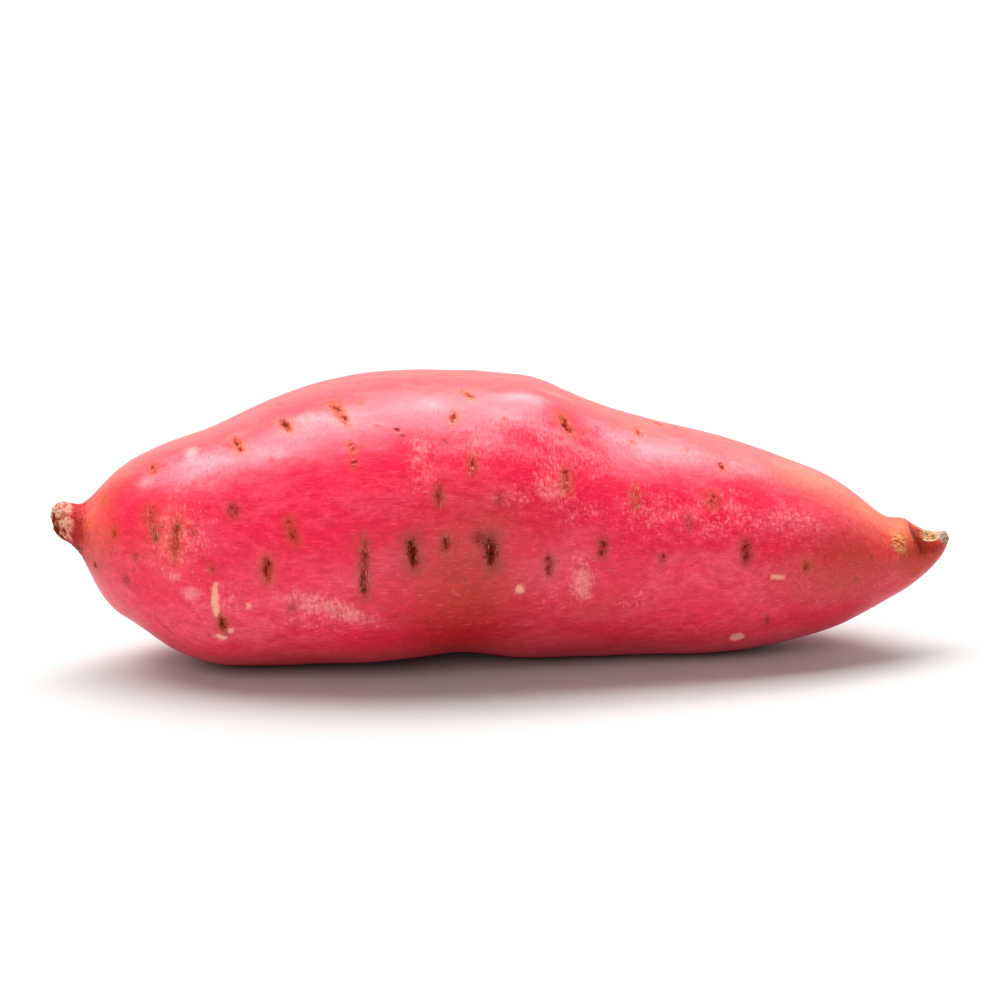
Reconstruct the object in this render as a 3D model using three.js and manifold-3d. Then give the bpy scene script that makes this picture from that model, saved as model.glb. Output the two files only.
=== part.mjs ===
// A sweet potato: one swollen storage root, lying on its side, in millimetres.
// +X runs along the root from its broken stem neck to its torn tail, +Z is up, and the origin is on
// the surface it lies on, under the middle of its length and breadth.
// The root is a loft of upright sections. Its side outline (top and under) and its plan outline
// (near and far side) are smooth curves through a few stations. Gentle swells and hollows make the
// flesh uneven, the lowest flesh is pressed flat where it rests, and the tail's torn face is scooped out.

import * as THREE from "three";
import { mergeVertices } from "three/addons/utils/BufferGeometryUtils.js";
import Module from "manifold-3d";

// Driving dimensions.
const LENGTH = 200; // from the stem neck's end to the tip of the tail
const HEIGHT = 64; // at the thickest place, lying down
const BREADTH = 68; // across the thickest place, seen from above
const RING_COUNT = 84; // sections along the root, closer together at both ends
const SIDE_COUNT = 48; // facets around each section
const SQUARENESS = 2.12; // exponent of the sections: 2 is an ellipse, more is fuller at its corners

// Stations from neck to tail. at is a share of LENGTH. top and under are shares of HEIGHT above the
// surface. mid is where the section's middle lies to the far side (+) or near side (-), and half is
// its half breadth, both as shares of BREADTH.
const STATIONS = [
  { at: 0.0, top: 0.524, under: 0.524, mid: -0.16, half: 0.0 }, // far rim of the broken neck
  { at: 0.004, top: 0.564, under: 0.476, mid: -0.162, half: 0.022 },
  { at: 0.012, top: 0.578, under: 0.454, mid: -0.167, half: 0.04 }, // middle of the broken face
  { at: 0.024, top: 0.574, under: 0.432, mid: -0.172, half: 0.068 }, // its near rim
  { at: 0.034, top: 0.568, under: 0.4, mid: -0.163, half: 0.088 }, // narrowest part of the neck
  { at: 0.048, top: 0.606, under: 0.296, mid: -0.15, half: 0.145 }, // the shoulder flares
  { at: 0.068, top: 0.669, under: 0.2, mid: -0.135, half: 0.215 },
  { at: 0.09, top: 0.716, under: 0.157, mid: -0.126, half: 0.272 },
  { at: 0.135, top: 0.777, under: 0.058, mid: -0.114, half: 0.345 },
  { at: 0.18, top: 0.824, under: 0.003, mid: -0.105, half: 0.402 },
  { at: 0.23, top: 0.908, under: -0.008, mid: -0.096, half: 0.44 }, // left lobe, which rests
  { at: 0.3, top: 0.968, under: -0.008, mid: -0.078, half: 0.478 },
  { at: 0.36, top: 0.997, under: -0.004, mid: -0.06, half: 0.496 },
  { at: 0.43, top: 0.996, under: 0.004, mid: -0.036, half: 0.493 },
  { at: 0.485, top: 0.987, under: 0.0, mid: -0.023, half: 0.48 }, // waist under the belly
  { at: 0.535, top: 0.967, under: -0.006, mid: -0.011, half: 0.463 },
  { at: 0.575, top: 0.913, under: -0.006, mid: -0.001, half: 0.444 }, // the back drops off
  { at: 0.635, top: 0.848, under: -0.006, mid: 0.014, half: 0.415 }, // right lobe, which rests
  { at: 0.7, top: 0.795, under: -0.006, mid: 0.029, half: 0.384 },
  { at: 0.76, top: 0.74, under: 0.006, mid: 0.038, half: 0.352 },
  { at: 0.82, top: 0.672, under: 0.038, mid: 0.044, half: 0.308 },
  { at: 0.87, top: 0.607, under: 0.081, mid: 0.045, half: 0.256 },
  { at: 0.9, top: 0.542, under: 0.125, mid: 0.042, half: 0.21 },
  { at: 0.926, top: 0.475, under: 0.17, mid: 0.04, half: 0.158 },
  { at: 0.937, top: 0.464, under: 0.189, mid: 0.038, half: 0.14 }, // saddle before the knob
  { at: 0.948, top: 0.47, under: 0.208, mid: 0.036, half: 0.124 }, // knob over the tail
  { at: 0.962, top: 0.44, under: 0.242, mid: 0.032, half: 0.098 },
  { at: 0.978, top: 0.423, under: 0.288, mid: 0.026, half: 0.066 },
  { at: 0.989, top: 0.42, under: 0.328, mid: 0.022, half: 0.042 },
  { at: 0.996, top: 0.424, under: 0.362, mid: 0.02, half: 0.024 }, // blunt, with a raised rim
  { at: 1.0, top: 0.4, under: 0.4, mid: 0.02, half: 0.0 }, // tip of the tail
];

// Swells (+) and hollows (-) of the flesh. turn is in degrees around the section: 0 is the far side,
// 90 the top, 180 the near side and 270 underneath. along and around are the bump's spread in mm.
const SWELLS = [
  { at: 0.155, turn: 128, along: 12, around: 13, rise: 1.0 }, // bulge on the near shoulder
  { at: 0.17, turn: 214, along: 13, around: 11, rise: 1.1 }, // bulge low on the near lobe
  { at: 0.24, turn: 78, along: 9, around: 14, rise: -0.7 }, // saddle on the back of the neck end
  { at: 0.36, turn: 222, along: 20, around: 9, rise: 1.2 }, // ridge low on the near side
  { at: 0.455, turn: 244, along: 7, around: 12, rise: -1.3 }, // fold under the belly
  { at: 0.62, turn: 236, along: 16, around: 10, rise: -0.4 },
  { at: 0.545, turn: 112, along: 11, around: 10, rise: 1.3 }, // shoulder where the back drops off
  { at: 0.64, turn: 108, along: 12, around: 14, rise: -1.1 },
  { at: 0.49, turn: 188, along: 7, around: 8, rise: -0.9 }, // pit around the largest root scar
  { at: 0.73, turn: 200, along: 18, around: 14, rise: 0.9 },
  { at: 0.3, turn: 20, along: 16, around: 15, rise: 1.6 }, // far side
  { at: 0.45, turn: 340, along: 14, around: 14, rise: -1.8 },
  { at: 0.57, turn: 12, along: 12, around: 12, rise: 1.4 },
  { at: 0.7, turn: 35, along: 15, around: 13, rise: -1.4 },
  { at: 0.82, turn: 350, along: 12, around: 12, rise: 1.0 },
  { at: 0.2, turn: 325, along: 12, around: 12, rise: -1.2 },
];

// Faint ribs that run along the root, drifting slowly around it. height is a share of the radius.
const RIBS = [
  { count: 3, drift: 1.4, shift: 0.6, height: 0.009 },
  { count: 5, drift: -2.2, shift: 2.1, height: 0.006 },
];
const RIB_FADE = 0.12; // share of LENGTH at each end over which the ribs fade in

// The scoop that leaves the torn face on the tail: an ellipsoid's centre and half sizes.
const SCOOP = { x: 195.6, y: -1.6, z: 30.4, halfLength: 4.4, halfBreadth: 4.4, halfHeight: 4.2, facets: 24 };

const wasm = await Module();
wasm.setup();

// A smooth curve through the stations, which gives { top, under, mid, half } in mm at x.
function outlineCurve() {
  const places = STATIONS.map((s) => s.at * LENGTH);
  const values = STATIONS.flatMap((s) => [s.top * HEIGHT, s.under * HEIGHT, s.mid * BREADTH, s.half * BREADTH]);
  const curve = new THREE.CubicInterpolant(new Float32Array(places), new Float32Array(values), 4);
  return (x) => {
    const [top, under, mid, half] = curve.evaluate(x);
    return { top, under, mid, half: Math.max(half, 0) };
  };
}

// How far the flesh stands out (+) or in (-) at x and at an angle around a section of that radius.
function swell(x, angle, radius) {
  let rise = 0;
  for (const bump of SWELLS) {
    const turned = angle - THREE.MathUtils.degToRad(bump.turn);
    const around = radius * Math.atan2(Math.sin(turned), Math.cos(turned));
    const along = x - bump.at * LENGTH;
    rise += bump.rise * Math.exp(-((along / bump.along) ** 2) - (around / bump.around) ** 2);
  }
  const share = x / LENGTH;
  const fade = THREE.MathUtils.smoothstep(Math.min(share, 1 - share), 0, RIB_FADE);
  for (const rib of RIBS) {
    const phase = rib.count * angle + rib.drift * share * Math.PI + rib.shift;
    rise += fade * rib.height * radius * Math.cos(phase);
  }
  return rise;
}

// The signed power that turns a circle's cosine and sine into a fuller, squarer section.
function fuller(value) {
  return Math.sign(value) * Math.abs(value) ** (2 / SQUARENESS);
}

// One point of the surface. Flesh that would sink into the surface is pressed flat against it.
function surfacePoint(outline, x, angle) {
  const { top, under, mid, half } = outline(x);
  const halfHeight = (top - under) / 2;
  const radius = (halfHeight + half) / 2;
  const out = swell(x, angle, radius);
  const y = mid + half * fuller(Math.cos(angle)) + out * Math.cos(angle);
  const z = (top + under) / 2 + halfHeight * fuller(Math.sin(angle)) + out * Math.sin(angle);
  return new THREE.Vector3(x, y, Math.max(z, 0));
}

// The whole root before the tail is torn: rings of points closed by a point at each end.
function rootGeometry() {
  const outline = outlineCurve();
  const points = [surfacePoint(outline, 0, 0)];
  for (let ring = 1; ring < RING_COUNT; ring++) {
    const x = (LENGTH * (1 - Math.cos((Math.PI * ring) / RING_COUNT))) / 2;
    for (let side = 0; side < SIDE_COUNT; side++)
      points.push(surfacePoint(outline, x, (2 * Math.PI * side) / SIDE_COUNT));
  }
  points.push(surfacePoint(outline, LENGTH, 0));

  const faces = [];
  const last = points.length - 1;
  const at = (ring, side) => 1 + (ring - 1) * SIDE_COUNT + (side % SIDE_COUNT);
  for (let side = 0; side < SIDE_COUNT; side++) {
    faces.push(0, at(1, side + 1), at(1, side));
    for (let ring = 1; ring < RING_COUNT - 1; ring++) {
      const [a, b] = [at(ring, side), at(ring, side + 1)];
      const [c, d] = [at(ring + 1, side), at(ring + 1, side + 1)];
      faces.push(a, b, d, a, d, c);
    }
    faces.push(last, at(RING_COUNT - 1, side), at(RING_COUNT - 1, side + 1));
  }
  return new THREE.BufferGeometry().setFromPoints(points).setIndex(faces);
}

function solidFrom(geometry) {
  const bare = geometry.clone();
  bare.deleteAttribute("normal");
  bare.deleteAttribute("uv");
  const merged = mergeVertices(bare, 1e-4);
  const vertProperties = new Float32Array(merged.attributes.position.array);
  const triVerts = new Uint32Array(merged.index.array);
  return new wasm.Manifold(new wasm.Mesh({ numProp: 3, vertProperties, triVerts }));
}

function geometryFrom(solid) {
  const mesh = solid.getMesh();
  const geometry = new THREE.BufferGeometry();
  geometry.setAttribute("position", new THREE.BufferAttribute(mesh.vertProperties, 3));
  geometry.setIndex(new THREE.BufferAttribute(mesh.triVerts, 1));
  geometry.computeVertexNormals();
  return geometry;
}

function tornFaceCutter() {
  return new THREE.SphereGeometry(1, SCOOP.facets, SCOOP.facets)
    .scale(SCOOP.halfLength, SCOOP.halfBreadth, SCOOP.halfHeight)
    .translate(SCOOP.x, SCOOP.y, SCOOP.z);
}

function sweetPotato() {
  const torn = solidFrom(rootGeometry()).subtract(solidFrom(tornFaceCutter()));
  const geometry = geometryFrom(torn);
  geometry.computeBoundingBox();
  const middle = geometry.boundingBox.getCenter(new THREE.Vector3());
  geometry.translate(-middle.x, -middle.y, 0);
  const skin = new THREE.MeshStandardMaterial({ color: 0xd8405c, roughness: 0.42, metalness: 0 });
  const mesh = new THREE.Mesh(geometry, skin);
  mesh.name = "sweet_potato";
  return mesh;
}

const root = new THREE.Group();
root.add(sweetPotato());

export default root;
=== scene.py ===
import math
import random

import bmesh
import bpy
import numpy as np
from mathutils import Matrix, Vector
from mathutils.bvhtree import BVHTree


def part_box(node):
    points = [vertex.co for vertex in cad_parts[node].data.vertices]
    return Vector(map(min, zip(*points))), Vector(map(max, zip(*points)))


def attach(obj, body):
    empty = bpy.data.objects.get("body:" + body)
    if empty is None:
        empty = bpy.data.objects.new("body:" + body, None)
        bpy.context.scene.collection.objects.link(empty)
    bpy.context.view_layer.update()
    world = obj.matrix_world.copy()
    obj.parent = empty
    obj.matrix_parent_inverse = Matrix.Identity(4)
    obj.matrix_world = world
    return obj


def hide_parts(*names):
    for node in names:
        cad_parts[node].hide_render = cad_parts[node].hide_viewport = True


# A sweet potato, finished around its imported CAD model: the skin with its root scars, worn patches and
# bare marks, the corky crumbs in the scars and on the broken neck, and the torn tail.

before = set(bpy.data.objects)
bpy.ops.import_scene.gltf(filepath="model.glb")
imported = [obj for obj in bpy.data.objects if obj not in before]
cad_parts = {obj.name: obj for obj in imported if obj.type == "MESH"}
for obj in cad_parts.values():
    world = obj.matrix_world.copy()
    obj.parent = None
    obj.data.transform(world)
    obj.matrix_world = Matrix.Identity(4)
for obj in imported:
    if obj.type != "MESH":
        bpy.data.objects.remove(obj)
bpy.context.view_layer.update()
lowest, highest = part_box("sweet_potato")
rootLength = highest.x - lowest.x
mm = 0.001


class Wire:  # an output of a node, so that a sum written on it adds the Math nodes for it
    def __init__(self, tree, socket):
        self.tree = tree
        self.socket = socket

    def __add__(self, other):
        return self.tree.maths("ADD", self, other)

    def __radd__(self, other):
        return self.tree.maths("ADD", other, self)

    def __sub__(self, other):
        return self.tree.maths("SUBTRACT", self, other)

    def __rsub__(self, other):
        return self.tree.maths("SUBTRACT", other, self)

    def __mul__(self, other):
        return self.tree.maths("MULTIPLY", self, other)

    def __rmul__(self, other):
        return self.tree.maths("MULTIPLY", other, self)

    def __truediv__(self, other):
        return self.tree.maths("DIVIDE", self, other)

    def __rtruediv__(self, other):
        return self.tree.maths("DIVIDE", other, self)


class NodeTree:  # adds nodes to a shader or geometry tree
    def __init__(self, tree):
        self.tree = tree
        self.tree.nodes.clear()

    def add(self, kind, settings=None, sockets=None, give=0):
        node = self.tree.nodes.new(kind)
        for name, value in (settings or {}).items():
            setattr(node, name, value)
        for name, value in (sockets or {}).items():
            if isinstance(value, Wire):
                self.tree.links.new(value.socket, node.inputs[name])
            else:
                node.inputs[name].default_value = value
        return Wire(self, node.outputs[give]) if node.outputs else None

    def maths(self, operation, *values):
        return self.add("ShaderNodeMath", {"operation": operation}, dict(enumerate(values)))

    def smooth(self, value, start, end, low=0.0, high=1.0):  # a soft step from low to high
        ends = {"Value": value, 1: start, 2: end, 3: low, 4: high}
        return self.add("ShaderNodeMapRange", {"interpolation_type": "SMOOTHSTEP"}, ends)

    def noise(self, place, size, detail=3.0, roughness=0.55):  # size of its lumps in metres
        sockets = {"Vector": place, "Scale": 1.0 / size, "Detail": detail, "Roughness": roughness}
        return self.add("ShaderNodeTexNoise", None, sockets)

    def mix(self, share, under, over, blend="MIX"):  # colours
        settings = {"data_type": "RGBA", "blend_type": blend}
        return self.add("ShaderNodeMix", settings, {0: share, 6: under, 7: over}, give=2)


def tint(code):
    # a hex colour as the linear colour that nodes take
    parts = [int(code[i:i + 2], 16) / 255 for i in (1, 3, 5)]
    linear = [p / 12.92 if p <= 0.04045 else ((p + 0.055) / 1.055) ** 2.4 for p in parts]
    return (*linear, 1.0)


def geometryGroup(name, inputs):
    # a Geometry Nodes group with one geometry in and out and these named inputs, its tree, and a
    # function that gives an input as a wire
    group = bpy.data.node_groups.new(name, "GeometryNodeTree")
    group.interface.new_socket("Geometry", in_out="OUTPUT", socket_type="NodeSocketGeometry")
    group.interface.new_socket("Geometry", in_out="INPUT", socket_type="NodeSocketGeometry")
    kinds = {float: "NodeSocketFloat", int: "NodeSocketInt", str: "NodeSocketString"}
    for label, value in inputs.items():
        kind = kinds.get(type(value), "NodeSocketMaterial")
        group.interface.new_socket(label, in_out="INPUT", socket_type=kind)
    tree = NodeTree(group)
    given = tree.add("NodeGroupInput").socket.node.outputs
    return group, tree, lambda label: Wire(tree, given[label])


def placed(name, data):
    made = bpy.data.objects.new(name, data)
    bpy.context.scene.collection.objects.link(made)
    return made


def evaluated(source, keepAttributes=False):
    # the source's mesh with its modifiers applied
    depsgraph = bpy.context.evaluated_depsgraph_get()
    return bpy.data.meshes.new_from_object(
        source.evaluated_get(depsgraph), preserve_all_data_layers=keepAttributes, depsgraph=depsgraph)


def applyGroup(group, source, inputs, name):
    # runs the group on a copy of the source mesh and returns its result as a plain new object
    carrier = placed(name + "_carrier", source.data)
    modifier = carrier.modifiers.new(group.name, "NODES")
    modifier.node_group = group
    for item in group.interface.items_tree:
        if item.in_out == "INPUT" and item.name in inputs:
            modifier[item.identifier] = inputs[item.name]
    mesh = evaluated(carrier, keepAttributes=True)
    carrier.modifiers.remove(modifier)
    bpy.data.objects.remove(carrier)
    mesh.name = name
    return placed(name, mesh)


placing = {
    "stops": 200,  # sections measured along the root
    "reach": 2.0,  # mm of root read for each section
}


def readMidline(points):
    # the middle of the root's section, at even steps along it
    edge = placing["reach"] * mm / 4
    stops = np.linspace(lowest.x + edge, highest.x - edge, placing["stops"])
    middles = []
    for x in stops:
        near = points[np.abs(points[:, 0] - x) < placing["reach"] * mm]
        middles.append((near.min(0) + near.max(0)) / 2)
    return stops, np.array(middles)


def midAt(x):
    return np.interp(x, midline[0], midline[1][:, 1]), np.interp(x, midline[0], midline[1][:, 2])


def surfaceAt(at, turn):
    # the skin's point and outward direction at a share of the length and a turn in degrees:
    # 0 is the far side, 90 the top, 180 the near side and 270 underneath
    x = lowest.x + at * rootLength
    y, z = midAt(x)
    angle = math.radians(turn)
    point, normal, _, _ = rootTree.ray_cast(Vector((x, y, z)), Vector((0, math.cos(angle), math.sin(angle))))
    return point, normal


def slitFrame(at, turn, lean):
    # a point of the skin with the directions along a slit that runs around the root, across it and out,
    # as arrays
    point, out = surfaceAt(at, turn)
    angle = math.radians(turn)
    around = Vector((0, -math.sin(angle), math.cos(angle)))
    around = (around - out * around.dot(out)).normalized()
    across = around.cross(out).normalized()
    if across.x < 0:
        across = -across
    leaning = math.radians(lean)
    along = around * math.cos(leaning) + across * math.sin(leaning)
    return [np.array(vector) for vector in (point, along, out.cross(along).normalized(), out)]


skinMesh = {
    "merge": 0.03,  # mm, points of the CAD model closer than this become one
    "levels": 2,  # subdivisions of the CAD model's faces
    "flattest": 40,  # degrees between two triangles that pair into a quad
    "fineEdge": 0.34,  # mm, in scars and at both broken ends
    "markEdge": 0.42,  # mm, in bare marks
    "passes": 2,  # rounds of refinement
    "slack": 1.3,  # an edge is cut when it is this much longer than wanted
    "relax": 3, "ease": 0.5,  # smoothing steps after each round, and how far each one goes
}


def pairedRoot():
    # a copy of the CAD root with its loose triangles merged and paired into quads
    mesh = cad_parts["sweet_potato"].data.copy()
    bm = bmesh.new()
    bm.from_mesh(mesh)
    bmesh.ops.remove_doubles(bm, verts=bm.verts, dist=skinMesh["merge"] * mm)
    flattest = math.radians(skinMesh["flattest"])
    bmesh.ops.join_triangles(bm, faces=bm.faces, angle_face_threshold=flattest, angle_shape_threshold=math.pi)
    for layer in list(bm.loops.layers.uv):
        bm.loops.layers.uv.remove(layer)
    bmesh.ops.recalc_face_normals(bm, faces=bm.faces)
    bm.to_mesh(mesh)
    bm.free()
    mesh.materials.clear()
    return placed("smooth_root", mesh)


def subdivided(source):
    modifier = source.modifiers.new("Subdivision", "SUBSURF")
    modifier.levels = modifier.render_levels = skinMesh["levels"]
    mesh = evaluated(source)
    bpy.data.objects.remove(source)
    return mesh


def meshPoints(mesh):
    points = np.empty(len(mesh.vertices) * 3)
    mesh.vertices.foreach_get("co", points)
    return points.reshape(-1, 3)


def refine(mesh, wantedEdge):
    # cuts the edges that are longer than wanted where they lie, and relaxes the new points
    bm = bmesh.new()
    bm.from_mesh(mesh)
    for _ in range(skinMesh["passes"]):
        bm.edges.ensure_lookup_table()
        middles = np.array([((e.verts[0].co + e.verts[1].co) / 2)[:] for e in bm.edges])
        lengths = np.array([e.calc_length() for e in bm.edges])
        long = np.flatnonzero(lengths > skinMesh["slack"] * wantedEdge(middles))
        cut = bmesh.ops.subdivide_edges(bm, edges=[bm.edges[i] for i in long], cuts=1, use_grid_fill=True)
        fresh = [item for item in cut["geom_inner"] if isinstance(item, bmesh.types.BMVert)]
        for _ in range(skinMesh["relax"]):
            bmesh.ops.smooth_vert(
                bm, verts=fresh, factor=skinMesh["ease"], use_axis_x=True, use_axis_y=True, use_axis_z=True)
    bmesh.ops.triangulate(bm, faces=bm.faces)
    bm.to_mesh(mesh)
    bm.free()


# Each scar: at and turn as in surfaceAt, long and wide in mm, lean in degrees (its lower end towards
# the tail), dark 0 to 1, rust 0 for an olive stain to 1 for an orange one, and dry for its pale flecks.
scarColumns = ("at", "turn", "long", "wide", "lean", "dark", "rust", "dry")
nearScars = [
    (0.247, 182, 6.4, 2.4, 0, 0.75, 0.45, 0.3),  # the row along the middle of the near side
    (0.351, 185, 17, 2.3, 0, 0.6, 0.2, 0.6),
    (0.402, 180, 8.2, 2.8, 4, 1, 0.1, 0.4),
    (0.437, 177, 5.2, 2, 0, 0.5, 0.2, 0.5),
    (0.485, 180, 8.6, 3.4, 5, 1, 0.05, 0.4),
    (0.472, 175, 3.8, 3.8, 0, 0.22, 0, 0.3),
    (0.548, 185, 6.4, 2.2, 0, 0.42, 0.25, 0.1),
    (0.605, 174, 5.2, 2.4, 0, 0.55, 0.2, 0.3),
    (0.671, 175, 2.4, 1.9, 0, 0.4, 0.3, 0.1),
    (0.763, 169, 5.6, 2.6, 0, 0.65, 0.15, 0.2),
    (0.83, 176, 2.8, 2, 0, 0.5, 0.5, 0.1),
    (0.119, 120, 5.6, 3, 15, 0.4, 0.8, 0.2),  # along the shoulder
    (0.212, 123, 7.8, 3, 22, 0.6, 1, 0.5),
    (0.264, 121, 6.8, 2.6, 28, 0.8, 0.8, 0.2),
    (0.321, 120, 11.6, 3, 25, 0.7, 1, 0.4),
    (0.337, 139, 5, 2, 8, 0.35, 0.8, 0.2),
    (0.344, 116, 3, 2.4, 30, 0.25, 1, 0.4),
    (0.459, 110, 6.4, 2.8, 36, 0.45, 1, 0.6),
    (0.445, 124, 6.4, 2.2, 0, 0.4, 0.8, 0.45),
    (0.436, 137, 2, 0.9, 40, 0.5, 0.2, 0),
    (0.363, 130, 1.5, 0.9, 60, 0.45, 0.2, 0),
    (0.383, 131, 1.6, 1, 40, 0.4, 0.2, 0),
    (0.392, 135, 2.2, 0.9, 55, 0.45, 0.1, 0),
    (0.339, 146, 2, 1.4, 20, 0.35, 0.6, 0),
    (0.499, 125, 1.1, 1, 0, 0.5, 0.5, 0),
    (0.567, 122, 6.4, 2.6, 28, 0.75, 0.9, 0.4),
    (0.647, 104, 6, 4.2, 15, 0.3, 1, 0.9),
    (0.673, 87, 4.2, 1.6, 25, 0.5, 0.8, 0.2),
    (0.7, 113, 3.4, 0.9, 20, 0.4, 0.8, 0),
    (0.706, 106, 1.2, 1, 0, 0.5, 1, 0),
    (0.738, 121, 4.4, 1.4, 25, 0.5, 0.7, 0.2),
    (0.119, 150, 6, 4.8, 0, 0.15, 0.45, 0.45),  # between the two rows
    (0.125, 160, 5, 2.4, 0, 0.45, 0.35, 0.7),
    (0.148, 163, 9.6, 2.8, -8, 0.5, 0.8, 0.4),
    (0.211, 155, 3.6, 3, 10, 0.5, 0.1, 0.3),
    (0.274, 168, 6.6, 2.8, 18, 0.45, 0.6, 0.4),
    (0.43, 159, 5.4, 2.8, 0, 0.4, 0.2, 0.6),
    (0.466, 147, 6.8, 2.4, 0, 0.3, 0.3, 0.7),
    (0.495, 160, 4.2, 1.7, 0, 0.2, 0.2, 0.4),
    (0.566, 149, 7.2, 2.8, 0, 0.3, 0.7, 0.5),
    (0.641, 149, 6.4, 2.8, 0, 0.2, 0.5, 0.8),
    (0.7, 157, 4.4, 1.8, 0, 0.2, 0.2, 0.5),
    (0.726, 143, 5.6, 4.6, 0, 0.15, 0.6, 0.4),
    (0.063, 129, 3.2, 2.8, 0, 0.3, 0.9, 0.5),
    (0.079, 161, 3.6, 2.2, 0, 0.35, 0.8, 0.3),
    (0.102, 175, 2.2, 1.8, 0, 0.25, 0.3, 0),
    (0.091, 193, 2.4, 1.9, 0, 0.3, 0.2, 0),
    (0.054, 193, 1.8, 1.4, 0, 0.8, 0.5, 0),
    (0.187, 178, 1.2, 1.1, 0, 0.7, 0.3, 0),
    (0.197, 203, 5.2, 2.4, 8, 0.7, 0.5, 0.5),
    (0.274, 198, 2.6, 2, 0, 0.25, 0.2, 0.1),
    (0.789, 210, 3.6, 1.4, 0, 0.35, 0.3, 0.1),
]
farRows = {
    "turns": (22, 58, 262, 300, 342),  # rows on the far side and underneath, in degrees
    "first": 0.14, "last": 0.86,  # shares of the length between which they grow
    "gap": 0.075, "jitter": 0.022, "drift": 7,  # share between scars, and how far they stray
    "long": (1.6, 9.0), "wide": (1.3, 0.26),  # mm, and the width as a number plus a share of the length
    "lean": (-12, 22), "dark": (0.3, 1.0), "dry": (0, 0.7),
    "upperRust": (0, 1), "lowerRust": (0, 0.4),  # stains above the middle are rustier
    "missing": 0.25, "seed": 11,
}
pecks = {  # small dents strewn over the whole root
    "count": 90, "at": (0.08, 0.93), "size": (0.7, 1.6), "wide": (0.5, 0.8),  # size in mm, width as its share
    "lean": (-30, 70), "dark": (0.05, 0.4), "rust": (0, 0.7), "seed": 29,
}
scarSpecks = {
    "spacing": 0.9,  # mm between the specks of cork in a scar
    "size": (0.4, 0.8),  # mm, half length of a speck
    "width": (0.25, 0.5), "strength": (0.6, 1.1),  # width as a share of half the slit's
    "stray": 0.2, "sway": 0.4,  # mm along the slit, and share of its half width across it
    "span": 0.66,  # share of the slit that holds cork
    "haloReach": 1.5,  # mm of stain around the slit, plus half its width
    "farthest": 9,  # mm beyond the slit's end where nothing of it shows
    "seed": 5,
}


def allScars():
    # the near side's scars as listed, and rows of them on the sides that have none placed
    scars = [dict(zip(scarColumns, row)) for row in nearScars]
    draw = random.Random(farRows["seed"])
    for turn in farRows["turns"]:
        at = farRows["first"] + draw.uniform(0, farRows["gap"])
        while at < farRows["last"]:
            long = draw.uniform(*farRows["long"])
            least, share = farRows["wide"]
            grown = {
                "at": at,
                "turn": turn + draw.uniform(-1, 1) * farRows["drift"],
                "long": long,
                "wide": least + share * long,
                "lean": draw.uniform(*farRows["lean"]),
                "dark": draw.uniform(*farRows["dark"]),
                "rust": draw.uniform(*farRows["upperRust" if turn < 90 else "lowerRust"]),
                "dry": draw.uniform(*farRows["dry"]),
            }
            if draw.random() > farRows["missing"]:
                scars.append(grown)
            at += farRows["gap"] + draw.uniform(-1, 1) * farRows["jitter"]
    draw = random.Random(pecks["seed"])
    for _ in range(pecks["count"]):
        size = draw.uniform(*pecks["size"])
        scars.append({
            "at": draw.uniform(*pecks["at"]),
            "turn": draw.uniform(0, 360),
            "long": size,
            "wide": size * draw.uniform(*pecks["wide"]),
            "lean": draw.uniform(*pecks["lean"]),
            "dark": draw.uniform(*pecks["dark"]),
            "rust": draw.uniform(*pecks["rust"]),
            "dry": 0.0,
        })
    return scars


def scarFields(points, scars):
    # for each point: the cork's strength, the dark seep along the slit, the stain around it, and how
    # dark, rusty and dry the nearest scar is
    draw = random.Random(scarSpecks["seed"])
    fields = {name: np.zeros(len(points)) for name in ("speck", "seep", "halo", "dark", "rust", "dry")}
    weight = np.full(len(points), 1e-6)
    for scar in scars:
        centre, along, across, _ = slitFrame(scar["at"], scar["turn"], scar["lean"])
        half, side = scar["long"] * mm / 2, scar["wide"] * mm / 2
        shown = half + scarSpecks["farthest"] * mm
        near = np.flatnonzero(np.linalg.norm(points - centre, axis=1) < shown)
        offset = points[near] - centre
        u, w = offset @ along, offset @ across
        depth = 0.3 + 0.7 * scar["dark"]
        reach = scarSpecks["haloReach"] * mm * depth * min(1, 0.2 + side / mm)
        beyond = np.maximum(np.abs(u) - half * 0.7, 0)
        stain = np.exp(-(beyond / (reach + 0.3 * half)) ** 2 - (w / (reach + side)) ** 2)
        taper = np.clip(1 - (u / (half * 1.25)) ** 2, 0.05, 1)
        seep = np.exp(-np.abs(u / (half * 1.1)) ** 2.4 - (w / (side * taper)) ** 2)
        count = max(1, round(scar["long"] / scarSpecks["spacing"]))
        specks = np.zeros(len(near))
        for number in range(count):
            step = (number + 0.5) / count * 2 - 1
            size = draw.uniform(*scarSpecks["size"]) * mm * min(1, 0.45 + 0.3 * scar["wide"])
            width = side * draw.uniform(*scarSpecks["width"]) * (1 - 0.4 * step * step)  # slimmer at the ends
            du = u - step * half * scarSpecks["span"] - draw.uniform(-1, 1) * scarSpecks["stray"] * mm
            dw = w - side * draw.uniform(-1, 1) * scarSpecks["sway"]
            specks += draw.uniform(*scarSpecks["strength"]) * np.exp(-(du / size) ** 2 - (dw / width) ** 2)
        found = {"speck": specks * depth, "seep": seep, "halo": stain * (0.35 + 0.65 * scar["dark"])}
        for name, values in found.items():
            fields[name][near] = np.maximum(fields[name][near], values)
        weight[near] += stain
        for name in ("dark", "rust", "dry"):
            fields[name][near] += stain * scar[name]
    for name in ("dark", "rust", "dry"):
        fields[name] /= weight
    return fields


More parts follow.
